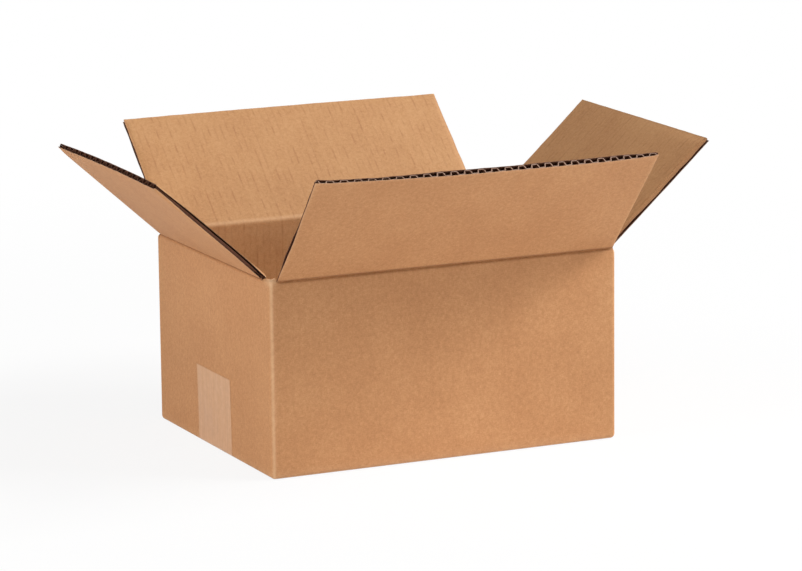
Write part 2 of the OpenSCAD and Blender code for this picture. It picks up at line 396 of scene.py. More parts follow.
def make_fluting_tree():
    """Node tree of the wavy sheet: a flat grid raised into waves and given its thickness."""
    tree = bpy.data.node_groups.new("fluting", "GeometryNodeTree")
    keys = {}
    for name in (
        "Across", "Along", "Wave length", "Wave height", "First wave", "Paper",
        "Crushed start", "Torn end", "Seed", "Steps", "Rows",
    ):
        socket = tree.interface.new_socket(name, in_out="INPUT", socket_type="NodeSocketFloat")
        keys[name] = socket.identifier
    finish = tree.interface.new_socket("Finish", in_out="INPUT", socket_type="NodeSocketMaterial")
    keys["Finish"] = finish.identifier
    tree.interface.new_socket("Geometry", in_out="OUTPUT", socket_type="NodeSocketGeometry")
    wire = Wire(tree)
    entry = tree.nodes.new("NodeGroupInput")
    given = {socket.name: Wire(tree, socket) for socket in entry.outputs if socket.name}
    columns = wire.maths("ROUND", given["Across"] / given["Wave length"] * given["Steps"]) + 1
    flat = wire.node("GeometryNodeMeshGrid", (), {
        "Size X": given["Across"],
        "Size Y": given["Along"],
        "Vertices X": columns,
        "Vertices Y": given["Rows"],
    }, "Mesh")
    place = wire.node("GeometryNodeInputPosition")
    x = wire.node("ShaderNodeSeparateXYZ", (), {0: place}, "X")
    y = wire.node("ShaderNodeSeparateXYZ", (), {0: place}, "Y")
    run = y + given["Along"] * 0.5
    left = given["Along"] * 0.5 - y
    phase = (x - given["First wave"]) / given["Wave length"] * (2 * math.pi)
    grown = wire.maths("MINIMUM", run / given["Crushed start"], 1.0)
    steep = wire.maths("TANH", wire.maths("COSINE", phase) * wave_steepness) / math.tanh(wave_steepness)
    height = steep * given["Wave height"] * grown * -1
    seeded = wire.node("ShaderNodeCombineXYZ", (), {"X": x, "Y": y, "Z": given["Seed"]})
    tear = wire.node("ShaderNodeTexNoise", (), {"Vector": seeded, "Scale": 420.0, "Detail": 3.0})
    near_end = 1 - wire.maths("MINIMUM", left / torn_depth, 1.0)
    torn = (0.2 + tear) * given["Torn end"] * near_end * -1
    offset = wire.node("ShaderNodeCombineXYZ", (), {"X": 0.0, "Y": torn, "Z": height})
    waved = wire.node("GeometryNodeSetPosition", (), {"Geometry": flat, "Offset": offset})
    normal = wire.node("GeometryNodeInputNormal")
    half = wire.node("ShaderNodeVectorMath", {"operation": "SCALE"}, {
        0: normal,
        "Scale": given["Paper"] * -0.5,
    })
    lowered = wire.node("GeometryNodeSetPosition", (), {"Geometry": waved, "Offset": half})
    thick = wire.node("GeometryNodeExtrudeMesh", (), {
        "Mesh": lowered,
        "Offset Scale": given["Paper"],
        "Individual": False,
    }, "Mesh")
    under = wire.node("GeometryNodeFlipFaces", (), {"Mesh": lowered})
    both = tree.nodes.new("GeometryNodeJoinGeometry")
    tree.links.new(thick.socket, both.inputs[0])
    tree.links.new(under.socket, both.inputs[0])
    closed = wire.node("GeometryNodeMergeByDistance", (), {
        "Geometry": Wire(tree, both.outputs[0]),
        "Distance": 1e-6,
    })
    whole = wire.node("GeometryNodeRealizeInstances", (), {"Geometry": closed})
    dressed = wire.node("GeometryNodeSetMaterial", (), {"Geometry": whole, "Material": given["Finish"]})
    wire.node("NodeGroupOutput", (), {0: dressed})
    return tree, keys


fluting_tree, fluting_keys = make_fluting_tree()
# How far from the cut the waves' ends show
rim_depth = 1.2


def fluting(
    u_from, u_to, v_from, v_to, bend, seed, rows,
    steps=12, crushed=4.0, torn=0.5, paper=0.38, rim=WAVY,
):
    """The wavy sheet of one panel. bend(u, v, t) puts it in place, t being off the board's middle."""
    across = u_to - u_from
    along = v_to - v_from
    middle = (u_from + u_to) / 2
    host = bpy.data.objects.new("fluting", bpy.data.meshes.new("fluting"))
    scene.collection.objects.link(host)
    modifier = host.modifiers.new("fluting", "NODES")
    modifier.node_group = fluting_tree
    values = {
        "Across": across * 0.001,
        "Along": along * 0.001,
        "Wave length": wave_length * 0.001,
        "Wave height": (board / 2 - liner - paper / 2) * 0.001,
        "First wave": (first_wave - middle) * 0.001,
        "Paper": paper * 0.001,
        "Crushed start": crushed * 0.001,
        "Torn end": torn * 0.001,
        "Seed": seed * 1.37,
        "Steps": float(steps),
        "Rows": float(rows),
        "Finish": wavy_kraft_with_painted_shade,
    }
    for name, value in values.items():
        modifier[fluting_keys[name]] = value
    evaluated = host.evaluated_get(bpy.context.evaluated_depsgraph_get())
    mesh = bpy.data.meshes.new_from_object(evaluated)
    host.modifiers.clear()
    points = np.array([vertex.co for vertex in mesh.vertices]) * 1000
    faces = [list(polygon.vertices) for polygon in mesh.polygons]
    bpy.data.objects.remove(host)
    bpy.data.meshes.remove(mesh)
    u = points[:, 0] + middle
    v = points[:, 1] + (v_from + v_to) / 2
    placed = bend(u, v, points[:, 2])
    return {
        "points": placed,
        "faces": faces,
        "slots": [rim if min(v[corners]) > v_to - rim_depth else WAVY for corners in faces],
        "sheet": stack(u, v),
        "wear": np.zeros(len(u)),
    }


def columns_round(step, breaks, nearest=0.3):
    """Distances round the sheet, at a step, with each wall's slot ends and folds among them."""
    marks = set(np.round(np.arange(0, girth, step), 4))
    slot_ends = set()
    for wall in walls.values():
        folds = np.linspace(-fold_radius, fold_radius, breaks)
        marks |= set(np.round((wall["start"] + folds) % girth, 4))
        slot_ends.add(round(wall["start"] + wall["cuts"][0] - side_gap, 4))
        slot_ends.add(round(wall["start"] + 2 * wall["half"] - wall["cuts"][1] + side_gap, 4))
    columns = [0.0]
    for mark in sorted(marks | slot_ends)[1:]:
        if mark - columns[-1] >= nearest or mark in slot_ends:
            columns.append(mark)
    return np.array(columns + [girth])


def under_flap(u):
    """True where the sheet at distance u ends at a flap's score and not at a slot."""
    found = np.zeros(np.shape(u), bool)
    for wall in walls.values():
        x = (u - wall["start"]) % girth
        found |= (x > wall["cuts"][0] - side_gap) & (x < 2 * wall["half"] - wall["cuts"][1] + side_gap)
    return found


def from_fold(u):
    """Distance from the nearest upright fold."""
    starts = np.array([wall["start"] for wall in walls.values()] + [girth])
    return np.min(np.abs(np.asarray(u)[..., None] - starts), axis=-1)


def panel_bow(u, z):
    """A wall's slight hollow, deepest in its middle."""
    bow = np.zeros(np.shape(u))
    for wall in walls.values():
        x = (u - wall["start"]) % girth / (2 * wall["half"])
        bow = np.where(x <= 1, np.sin(np.clip(x, 0, 1) * math.pi), bow)
    return wall_hollow * bow * np.sin(np.clip(z / score, 0, 1) * math.pi)


def inward(section):
    """Unit direction into the board at each point of a section that runs down its outer face."""
    step = np.diff(section, axis=0)
    step /= np.linalg.norm(step, axis=1)[:, None]
    tangent = np.vstack([step[:1], step[:-1] + step[1:], step[-1:]])
    tangent /= np.linalg.norm(tangent, axis=1)[:, None]
    return np.stack([-tangent[:, 1], tangent[:, 0]], axis=1)


# Height of each corner post's crushed top above the score, under the wall that
# starts there: at the slot before the fold, on the fold and at the slot after
post_tops = {
    "front": (0.5, 1.2, 1.9),
    "right": (0.5, -1.5, 0.3),
    "back": (0.6, 0.1, 0.6),
    "left": (0.4, -0.8, 0.5),
}


def post_rise(u):
    """Height of the posts' tops above the score at distance u round the sheet."""
    u = np.asarray(u, float)
    rise = np.zeros(u.shape)
    for (name, wall), before in zip(walls.items(), ("left", "front", "right", "back")):
        reach_after = wall["cuts"][0] - side_gap
        reach_before = walls[before]["cuts"][1] - side_gap
        along = (u - wall["start"] + girth / 2) % girth - girth / 2
        mine = (along > -reach_before - 0.01) & (along < reach_after + 0.01)
        at_before, at_fold, at_after = post_tops[name]
        share = np.clip(np.where(along > 0, along / reach_after, -along / reach_before), 0, 1)
        height = at_fold + (np.where(along > 0, at_after, at_before) - at_fold) * share ** 1.6
        rise = np.where(mine, height, rise)
    return rise


u_columns = columns_round(wave_length / 4, 9)
cap_rows = [(4.0, -0.9), (3.2, -0.25), (2.2, 0.0), (1.3, -0.12), (0.5, -0.5), (0.1, -1.1), (0.0, -1.7)]
wall_rows = [(0.0, z) for z in (score - strip_low, *np.linspace(score - 2 * strip_low, 6.0, 9), fold_radius)]
foot_rows = [
    (fold_radius * (1 - math.cos(angle)), fold_radius * (1 - math.sin(angle)))
    for angle in np.linspace(0, math.pi / 2, 6)[1:]
]
cap_count = len(cap_rows)
cap_section = [(depth, score + z) for depth, z in cap_rows]
outer_section = np.array(cap_section + wall_rows + foot_rows + [(board, 0.0)])
into_board = inward(outer_section)


def tube_grid(under):
    """Points of the outer liner at a depth under its face, from the post tops to the wall's foot."""
    u = u_columns[None, :]
    inset = (outer_section[:, 0] + under * into_board[:, 0])[:, None] + 0 * u
    z = (outer_section[:, 1] + under * into_board[:, 1])[:, None] + 0 * u
    z[:cap_count] += post_rise(u)
    flat = np.clip(from_fold(u) / 6, 0, 1) * np.clip((z - 2) / 8, 0, 1) * np.clip((score - 1 - z) / 8, 0, 1)
    inset = inset + flat * (ripple(u, first_wave) + panel_bow(u, z))
    points = round_tube(u, inset, z)
    under_tape = np.abs(points[..., 1] - tape_shift) < tape_half
    lifted = under_tape & (points[..., 2] < fold_radius) & (np.abs(points[..., 0]) > length / 2 - board - 1)
    points[..., 2] += np.where(lifted, tape_film, 0)
    return points, z


outer_face, outer_z = tube_grid(0.0)
outer_reverse, _ = tube_grid(liner)
outer_u = np.broadcast_to(u_columns, outer_z.shape)
cell_u = (u_columns[1:] + u_columns[:-1]) / 2
cell_keep = np.ones((len(outer_z) - 1, len(cell_u)), bool)
cell_keep[:cap_count] = ~under_flap(cell_u)
# Pale bands down the upright folds, partly scuffs and partly painted highlight, with painted shade down the
# right fold instead.
fold_wear_and_painted_light = np.zeros(outer_u.shape)
for wall, worn_and_painted_light in zip(walls.values(), (0.66, -0.15, 0.3, 0.3)):
    along = (outer_u - wall["start"] + girth / 2) % girth - girth / 2
    fold_wear_and_painted_light = np.where(np.abs(along) < 20, worn_and_painted_light, fold_wear_and_painted_light)
upright_wear_and_painted_light = np.exp(-(from_fold(outer_u - 0.9) / 1.15) ** 2) * fold_wear_and_painted_light
base_wear = np.exp(-((outer_z - 1) / 1.6) ** 2) * 0.3
below_top = np.maximum(score + post_rise(outer_u) - outer_z, 0)
slot_wear = np.where(under_flap(outer_u), 0, np.exp(-(below_top / 2.4) ** 2)) * 0.8
slot_wear = slot_wear * np.exp(-(from_fold(outer_u) / 5) ** 2)
outer_wear_and_painted_light = np.clip(upright_wear_and_painted_light + base_wear + slot_wear, -1, 1)
outer_liner = leaf(
    outer_face, outer_reverse, outer_u, outer_z, outer_wear_and_painted_light, (OUTSIDE, WAVY, CUT), cell_keep
)

inner_z_rows = [score, score - strip_low_inside, 100, 88, 76, 64, 52, 40, 28, 16, 10, 8.2, board, 0.4]
inner_z = np.array(inner_z_rows)[:, None] + 0 * u_columns[None, :]
inner_u = np.broadcast_to(u_columns, inner_z.shape)
inner_flat = np.clip((from_fold(inner_u) - 4) / 6, 0, 1) * np.clip((score - 5 - inner_z) / 8, 0, 1)
inner_sink = inner_flat * ripple(inner_u, first_wave + wave_length / 2, 0.09)
inner_face = round_tube(inner_u, board - inner_sink, inner_z)
inner_reverse = round_tube(inner_u, board - liner - inner_sink, inner_z)
cell_keep = np.ones((len(inner_z_rows) - 1, len(cell_u)), bool)
cell_keep[0] = ~under_flap(cell_u)
for wall in (walls["front"], walls["back"]):
    cell_keep[-1] &= ~((cell_u > wall["start"]) & (cell_u < wall["start"] + 2 * wall["half"]))
cell_keep &= from_fold(cell_u) > board - 0.01
# The inner walls are made paler towards the score, partly scuffs and partly painted highlight.
inner_wear_and_painted_light = np.where(under_flap(inner_u), 0.16, 0.5) * np.exp(-((score - inner_z) / 10) ** 2)
inner_liner = leaf(
    inner_face, inner_reverse, inner_u, inner_z, inner_wear_and_painted_light, (INSIDE, WAVY, CUT), cell_keep
)


# Share of the room between the liners that the waves take
wave_fit = 0.97


def bend_into_walls(u, v, t):
    """Puts the wavy sheet into the tube, crushed where a score crosses it."""
    thick = np.where(under_flap(u), np.clip((score - 1.5 - v) / 8, 0.05, 1), 1)
    thick = thick * np.clip(from_fold(u) / 5, 0.25, 1) * wave_fit
    depth = board / 2 + t * thick
    return round_tube(u, depth + panel_bow(u, v) * (1 - depth / board), v)


wall_fluting = fluting(0, girth, 5, score - 0.4, bend_into_walls, 1, 9, steps=8)

tab_width = 32.0
tab_foot = 9.2
tab_top = 101.5
tab_taper = 6
tab_rise = np.linspace(0, 1, 7)[:, None]
tab_run = np.linspace(0, 1, 9)[None, :]
tab_low = tab_foot + tab_taper * (1 - tab_run)
tab_high = tab_top - tab_taper * (1 - tab_run)
tab_x = length / 2 - board - tab_width + tab_width * tab_run + 0 * tab_rise
tab_z = tab_low + (tab_high - tab_low) * tab_rise
tab_thick = 1.1 + 0.9 * np.clip(tab_run * 6, 0, 1) + 0 * tab_rise
back_face = width / 2 - board
glued_tab = leaf(
    stack(tab_x, back_face - tab_thick, tab_z),
    stack(tab_x, back_face + 0.05 + 0 * tab_thick, tab_z),
    girth + tab_width * (1 - tab_run) + 0 * tab_rise, tab_z, 0.0, (INSIDE, INSIDE, CUT),
)

carton_walls = piece("carton_walls", [outer_liner, inner_liner, wall_fluting, glued_tab], papers)
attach(carton_walls, "carton")
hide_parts("carton_body")

# Bottom flaps: the four panels below the walls, folded in. The two short ones
# lie inside and leave a gap in the middle; the two long ones meet under the tape.
bottom_seam = 1.0
layer_gap = 0.2
short_end = 24.0
long_half_x = length / 2 - board - side_gap
short_half_y = width / 2 - board - side_gap
bottom_sheets = []


def lay_liner(x, y, z, into_board, u, run, worn_and_painted_light, finish):
    """Adds a level liner of a bottom flap, run being its distance from the carton's middle."""
    face = stack(x, y, z)
    back = stack(x, y, z + into_board)
    bottom_sheets.append(leaf(face, back, u, -run, worn_and_painted_light, (finish, WAVY, CUT)))


for name, side in (("front", -1), ("back", 1)):
    wall = walls[name]
    reach = width / 2 - board
    tape_edge = tape_half + side * tape_shift
    rows = [reach, 66, 54, 42, 30, tape_edge + 1, tape_edge, 12, 3, bottom_seam / 2]
    y = side * np.array(rows)[:, None]
    x = np.arange(-long_half_x, long_half_x + 0.01, 2 * long_half_x / 101)[None, :]
    u = wall["start"] + wall["half"] - side * x + 0 * y
    low = np.where(np.abs(y - tape_shift) < tape_half + 0.01, tape_film, 0) + ripple(u, first_wave, 0.05)
    low = low * np.clip((reach - np.abs(y)) / 6, 0, 1)
    high = board - ripple(u, first_wave + wave_length / 2, 0.08) * np.clip((reach - 2 - np.abs(y)) / 8, 0, 1)
    run = np.abs(y)
    worn_and_painted_light = 0.4 * np.exp(-((run - bottom_seam / 2) / 1.5) ** 2)
    lay_liner(x, y, low, liner, u, run, worn_and_painted_light, OUTSIDE)
    lay_liner(x, y, high, -liner, u, run, worn_and_painted_light, INSIDE)

    def lay_long(u, v, t, wall=wall, side=side):
        return stack(side * (wall["start"] + wall["half"] - u), side * -v, board / 2 - t)

    bottom_sheets.append(fluting(
        wall["start"] + board + side_gap, wall["start"] + 2 * wall["half"] - board - side_gap,
        2 - reach, -bottom_seam, lay_long, 2 + side, 5, steps=8, crushed=6, torn=0.8,
    ))

for name, side in (("left", -1), ("right", 1)):
    wall = walls[name]
    reach = length / 2 - board
    run = np.array([reach, 92, 80, 68, 56, 44, 34, 29, 26.5, 25, short_end])[:, None]
    y = np.linspace(-short_half_y, short_half_y, 79)[None, :]
    u = wall["start"] + wall["half"] + side * y + 0 * run
    low = board + layer_gap
    flat = np.clip((reach - 2 - run) / 8, 0, 1)
    high = low + board - ripple(u, first_wave + wave_length / 2, 0.09) * flat
    ragged = 0.25 * wander(y[0], 0.21, 5 + side) * (run == short_end)
    x = side * (run + ragged)
    worn_and_painted_light = 0.5 * np.exp(-((run - short_end) / 2) ** 2)
    lay_liner(x, y, high, -liner, u, run, worn_and_painted_light, INSIDE)
    lay_liner(x, y, low, liner, u, run, worn_and_painted_light, OUTSIDE)

    def lay_short(u, v, t, wall=wall, side=side):
        return stack(side * -v, side * (u - wall["start"] - wall["half"]), board * 1.5 + layer_gap + t)

    bottom_sheets.append(fluting(
        wall["start"] + wall["half"] - short_half_y, wall["start"] + wall["half"] + short_half_y,
        -100, -short_end - 0.2, lay_short, 5 + side, 8, crushed=6, torn=0.8,
    ))

bottom_flaps = piece("bottom_flaps", bottom_sheets, papers)
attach(bottom_flaps, "carton")
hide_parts("carton_body")

# Top flaps: four panels of the same sheet, standing open. Their free edges and
# slotted sides are knife cuts, which crush the board and show the waves inside.
fit_turn = math.radians(45)
fold_gap = 0.15
seam_gap = 0.8
right_longer = 0.9


def axis_depth(nose, up):
    """Depth of a flap's axis that puts its outer face on the score when it stands at fit_turn."""
    return (nose - up * math.sin(fit_turn)) / math.cos(fit_turn)


long_flap = {"nose": board / 2, "up": board / 2 + fold_gap}
long_flap["in"] = axis_depth(long_flap["nose"], long_flap["up"])
long_flap["reach"] = width / 2 - long_flap["in"] - seam_gap / 2
short_flap = {"nose": 0.3, "up": -0.3 - fold_gap}
short_flap["in"] = axis_depth(short_flap["nose"], short_flap["up"])
short_flap["reach"] = (
    width / 2 + short_flap["in"] * math.sin(fit_turn) - short_flap["up"] * math.cos(fit_turn)
)
# How far each flap is open, in degrees from upright, with its axis and its reach from it
flaps = {
    "front": {**long_flap, "open": 41.5, "seed": 11},
    "back": {**long_flap, "open": 48.0, "seed": 12},
    "left": {**short_flap, "open": 48.0, "seed": 13},
    "right": {**short_flap, "open": 49.0, "seed": 14, "reach": short_flap["reach"] + right_longer},
}
# How much of its thickness the board keeps at its cuts. Each table gives values at
# places from 0 to 1, along the free edge or up one of the two slotted sides
kept_free = {
    "front": (
        (0, 0.62), (0.08, 0.53), (0.2, 0.53), (0.28, 0.69), (0.36, 0.88), (0.57, 0.84),
        (0.64, 0.93), (0.9, 0.9), (1, 0.5),
    ),
    "right": ((0, 0.6), (0.3, 0.7), (0.7, 0.8), (1, 0.6)),
    "back": ((0, 0.6), (0.4, 0.75), (0.8, 0.7), (1, 0.6)),
    "left": ((0, 0.66), (0.2, 0.74), (0.7, 0.76), (1, 0.76)),
}
kept_sides = {
    "front": (
        ((0, 0.25), (0.1, 0.3), (0.2, 0.6), (0.44, 0.55), (0.54, 0.25), (1, 0.22)),
        ((0, 0.4), (1, 0.38)),
    ),
    "right": (((0, 0.46), (0.3, 0.36), (1, 0.38)), ((0, 0.5),)),
    "back": (((0, 0.5), (0.5, 0.4), (1, 0.5)), ((0, 0.55), (0.5, 0.55), (1, 0.62))),
    "left": (
        ((0, 0.6), (0.9, 0.6), (1, 0.45)),
        ((0, 0.64), (0.15, 0.78), (0.7, 0.7), (0.88, 0.54), (1, 0.46)),
    ),
}
thinnest = 0.22
# How far in the board is crushed, from the free edge and from each flap's sides
crush_width_free = 4.0
crush_width = {"front": 1.8, "right": 0.9, "back": 1.8, "left": 1.8}
# Where the crushed board goes, at places up its two sides: -1 all to the outer
# face, 1 all to the inner one
pressed_to = {
    "front": (((0, -0.9), (1, -1.0)), ((0, -0.9), (1, -1.0))),
    "right": (((0, -0.8),), ((0, 0.8),)),
    "back": (((0, 0.0),), ((0, 0.0),)),
    "left": (((0, 0.0), (1, 0.2)), ((0, -0.9), (0.3, 0.1), (0.8, 0.4), (1, 0.2))),
}
# How far each side strays along the wall from a straight cut, at places up it
straight = ((0, 0.0),)
strayed = {
    "front": (((0.2, 0.0), (0.4, 0.3), (0.7, -0.4), (1, 0.0)), straight),
    "right": (straight, straight),
    "back": (straight, straight),
    "left": (straight, ((0.5, 0.0), (0.75, 0.4), (0.82, -0.2), (0.9, 0.4), (1, 0.6))),
}
# How far each free edge bends towards the flap's inner face, at places along it
bowed = {
    "front": ((0, 0.4), (0.15, -0.25), (0.36, -1.65), (0.62, -2.1), (0.88, -1.9), (1, -0.4)),
    "right": ((0, 0.8), (0.5, 0.9), (1, 1.5)),
    "back": ((0, 0.0), (0.5, 0.3), (1, 0.0)),
    "left": ((0, 0.05), (0.4, 0.65), (0.75, 0.15), (1, -0.8)),
}
# How much further the corners at the start of these free edges curl in
curled = {"front": 1.6, "back": 0.3}
score_run = 3.0


def sides(name):
    """Where a flap's two slotted sides lie along its wall."""
    half = walls[name]["half"]
    first_cut, last_cut = walls[name]["cuts"]
    return -half + first_cut, half - last_cut


def up_sides(tables, name, s):
    """What a table says of a flap's two sides, at distance s from its axis."""
    return (np.interp(s / flaps[name]["reach"], *zip(*table)) for table in tables[name])


def kept(name, x, s):
    """Share of the board's thickness left at a place on a flap, less near its cut edges."""
    start, end = sides(name)
    free = np.interp((x - start) / (end - start), *zip(*kept_free[name]))
    first, last = up_sides(kept_sides, name, s)
    uneven = 1 + 0.14 * wander(x + s * 0.7, 0.13, flaps[name]["seed"])
    lost = 0
    for share, from_cut, crushed in (
        (free, flaps[name]["reach"] - s, crush_width_free),
        (first, x - start, crush_width[name]),
        (last, end - x, crush_width[name]),
    ):
        lost = np.maximum(lost, (1 - share) * uneven * np.exp(-(np.maximum(from_cut, 0) / crushed) ** 2))
    return np.clip(1 - lost, thinnest, 1)


def press_side(name, x, s):
    """Where the crushed board goes at a place on a flap."""
    start, end = sides(name)
    first, last = up_sides(pressed_to, name, s)
    return first + (last - first) * np.clip((x - start) / (end - start), 0, 1)


def pressed(name, x, s, t):
    """Height t through the board where it is crushed: the liners keep their thickness."""
    off = t - board / 2
    share = kept(name, x, s)
    half = board / 2 * share
    middle = board / 2 * (1 + press_side(name, x, s) * (1 - share))
    core = board / 2 - liner
    in_liner = np.sign(off) * (half - (board / 2 - np.abs(off)))
    return middle + np.where(np.abs(off) > core - 1e-6, in_liner, off * (half - liner) / core)


def at_flap(name, x, s, t):
    """World points of a flap: x along its wall, s from its axis, t from its outer face."""
    wall = walls[name]
    flap = flaps[name]
    turn = math.radians(flap["open"])
    y = t - flap["nose"]
    depth = flap["in"] + y * math.cos(turn) - s * math.sin(turn)
    z = score + flap["up"] + y * math.sin(turn) + s * math.cos(turn)
    return in_wall(wall, x, depth, z)


def flap_bow(name, x, s):
    """A flap's slight warp, nothing at its score."""
    start, end = sides(name)
    rise = np.clip((s - score_run) / flaps[name]["reach"], 0, 1)
    places, values = zip(*bowed[name])
    curve = np.polyfit(places, values, len(places) - 1)
    bow = np.polyval(curve, (x - start) / (end - start))
    curl = curled.get(name, 0.0) * np.exp(-np.abs(x - start) / 6)
    return rise ** 2 * bow + rise ** 6 * curl


flap_wave_fit = 0.96
steps_in = np.array([0, 0.5, 1.1, 2.0, 3.2])
edge_columns = len(steps_in)
for name, flap in flaps.items():
    start, end = sides(name)
    u_shift = walls[name]["start"] + walls[name]["half"]
    middle_x = np.arange(math.ceil(start + 4.2), math.floor(end - 4.2) + 0.1, wave_length / 8)
    x = np.concatenate([start + steps_in, middle_x, end - steps_in[::-1]])[None, :]
    reach = flap["reach"]
    s = np.concatenate([
        [score_run, 6],
        np.linspace(9, reach - 14, 14),
        reach - np.array([10, 7, 5, 3.4, 2, 1, 0.4, 0]),
    ])[:, None]
    sheets = []
    for t_face, t_back, glued_at, finishes, seed in (
        (0.0, liner, first_wave, (OUTSIDE, WAVY, CUT), 1),
        (board, board - liner, first_wave + wave_length / 2, (INSIDE, WAVY, CUT), 2),
    ):
        key = flap["seed"] + seed * 3
        above = np.clip((s - score_run) / 10, 0, 1)
        side_wander = (0.16 * wander(s, 0.11, key) + 0.07 * wander(s, 0.6, key + 1)) * above
        end_wander = 0.09 * wander(x, 0.09, key + 2) + 0.05 * wander(x, 0.8, key + 3)
        cut_x = x + 0 * s
        first, last = up_sides(strayed, name, s)
        cut_x[:, :edge_columns] += first + side_wander + 0.1 * above
        cut_x[:, -edge_columns:] += last + side_wander[::-1] * above - 0.1 * above
        cut_s = s + 0 * x
        cut_s[-1] += end_wander[0] - 0.1
        fade = np.clip((s - score_run) / 6, 0, 1) * np.clip((reach - s) / 2, 0, 1)
        sink = ripple(x + u_shift, glued_at, 0.08) * fade
        inward_sink = sink if t_face == 0 else -sink
        bow = flap_bow(name, cut_x, cut_s)
        face, back = (
            at_flap(name, cut_x, cut_s, pressed(name, cut_x, cut_s, t) + inward_sink + bow)
            for t in (t_face, t_back)
        )
        # Pale bands along the cut edges, partly worn paper and partly painted highlight.
        from_cut = np.minimum(np.minimum(x - start, end - x), reach - cut_s)
        worn_and_painted_light = (0.32 if t_face == 0 else 0.06) * np.exp(-(np.maximum(from_cut, 0) / 0.9) ** 2)
        if name == "right" and t_face > 0:
            # Painted shade darkens its inner face along the near side
            worn_and_painted_light = worn_and_painted_light - 0.55 * np.exp(-((x - start) / 1.6) ** 2)
        sheets.append(leaf(face, back, cut_x + u_shift, cut_s + score, worn_and_painted_light, finishes))

    def bend_into_flap(u, v, t, name=name, u_shift=u_shift):
        x = u - u_shift
        depth = pressed(name, x, v, board / 2 + t * flap_wave_fit)
        return at_flap(name, x, v, depth + flap_bow(name, x, v))

    # At the long flaps' free edges the waves show most, with thick, pale, frayed ends
    frayed = {"steps": 24, "paper": 0.7, "rim": TICK} if name in ("front", "back") else {}
    sheets.append(fluting(
        start + u_shift + 0.15, end + u_shift - 0.15, score_run - 0.5, reach - 0.2,
        bend_into_flap, flap["seed"], 14, crushed=8, torn=0.2, **frayed,
    ))
    made = piece(name + "_flap_board", sheets, papers)
    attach(made, name + "_flap")
    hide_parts(name + "_flap")

# Scores: the liners run on from the walls into the flaps, with the crushed wavy
# sheet between them. Outside they buckle into a crease where the flap has been
# bent back, darkened with painted shade; inside they are stretched over the bend,
# which carries a painted highlight.
inner_bend = 3.6
# Depth under the wall's face and height from the fold, up the outer liner's crease
crease_lip = ((0.0, -1.7), (0.1, -1.15), (0.38, -0.7), (0.8, -0.32), (1.05, 0.02))
# Where the crushed wavy sheet's two faces lie on the way from liner to liner
core_shares = (0.3, 0.7)


def score_section(name, inner, under):
    """Depth and height of a liner across its score, at a depth under its face."""
    flap = flaps[name]
    turn = math.radians(flap["open"])
    t = (board if inner else 0.0) - flap["nose"]
    wall_depth = board if inner else 0.0

    def on_flap(s, press=0.0):
        return (
            flap["in"] + (t + press) * math.cos(turn) - s * math.sin(turn),
            flap["up"] + (t + press) * math.sin(turn) + s * math.cos(turn),
        )

    meet_s = (flap["in"] + t * math.cos(turn) - wall_depth) / math.sin(turn)
    meet_z = on_flap(meet_s)[1]
    if inner:
        lead = inner_bend * math.tan(turn / 2)
        path = [(wall_depth, z) for z in np.linspace(-strip_low_inside, meet_z - lead, 6)]
        for angle in np.linspace(0, turn, 6)[1:]:
            path.append((
                wall_depth - inner_bend * (1 - math.cos(angle)),
                meet_z - lead + inner_bend * math.sin(angle),
            ))
        path += [on_flap(s) for s in np.linspace(meet_s + lead, score_run, 4)[1:]]
    else:
        path = [(0.0, -strip_low), (0.0, -2.3)]
        path += [(depth, meet_z + rise) for depth, rise in crease_lip]
        path += [on_flap(meet_s + 0.3, 0.75), on_flap(meet_s + 0.6, 0.32), on_flap(meet_s + 1.0, 0.08)]
        path += [on_flap(s) for s in np.linspace(meet_s + 1.5, score_run, 3)]
    path = np.array(path)
    step = np.diff(path, axis=0)
    path = path[np.concatenate([[True], np.hypot(*step.T) > 0.05])]
    away = inward(path) if inner else -inward(path)
    return path + away * under, away


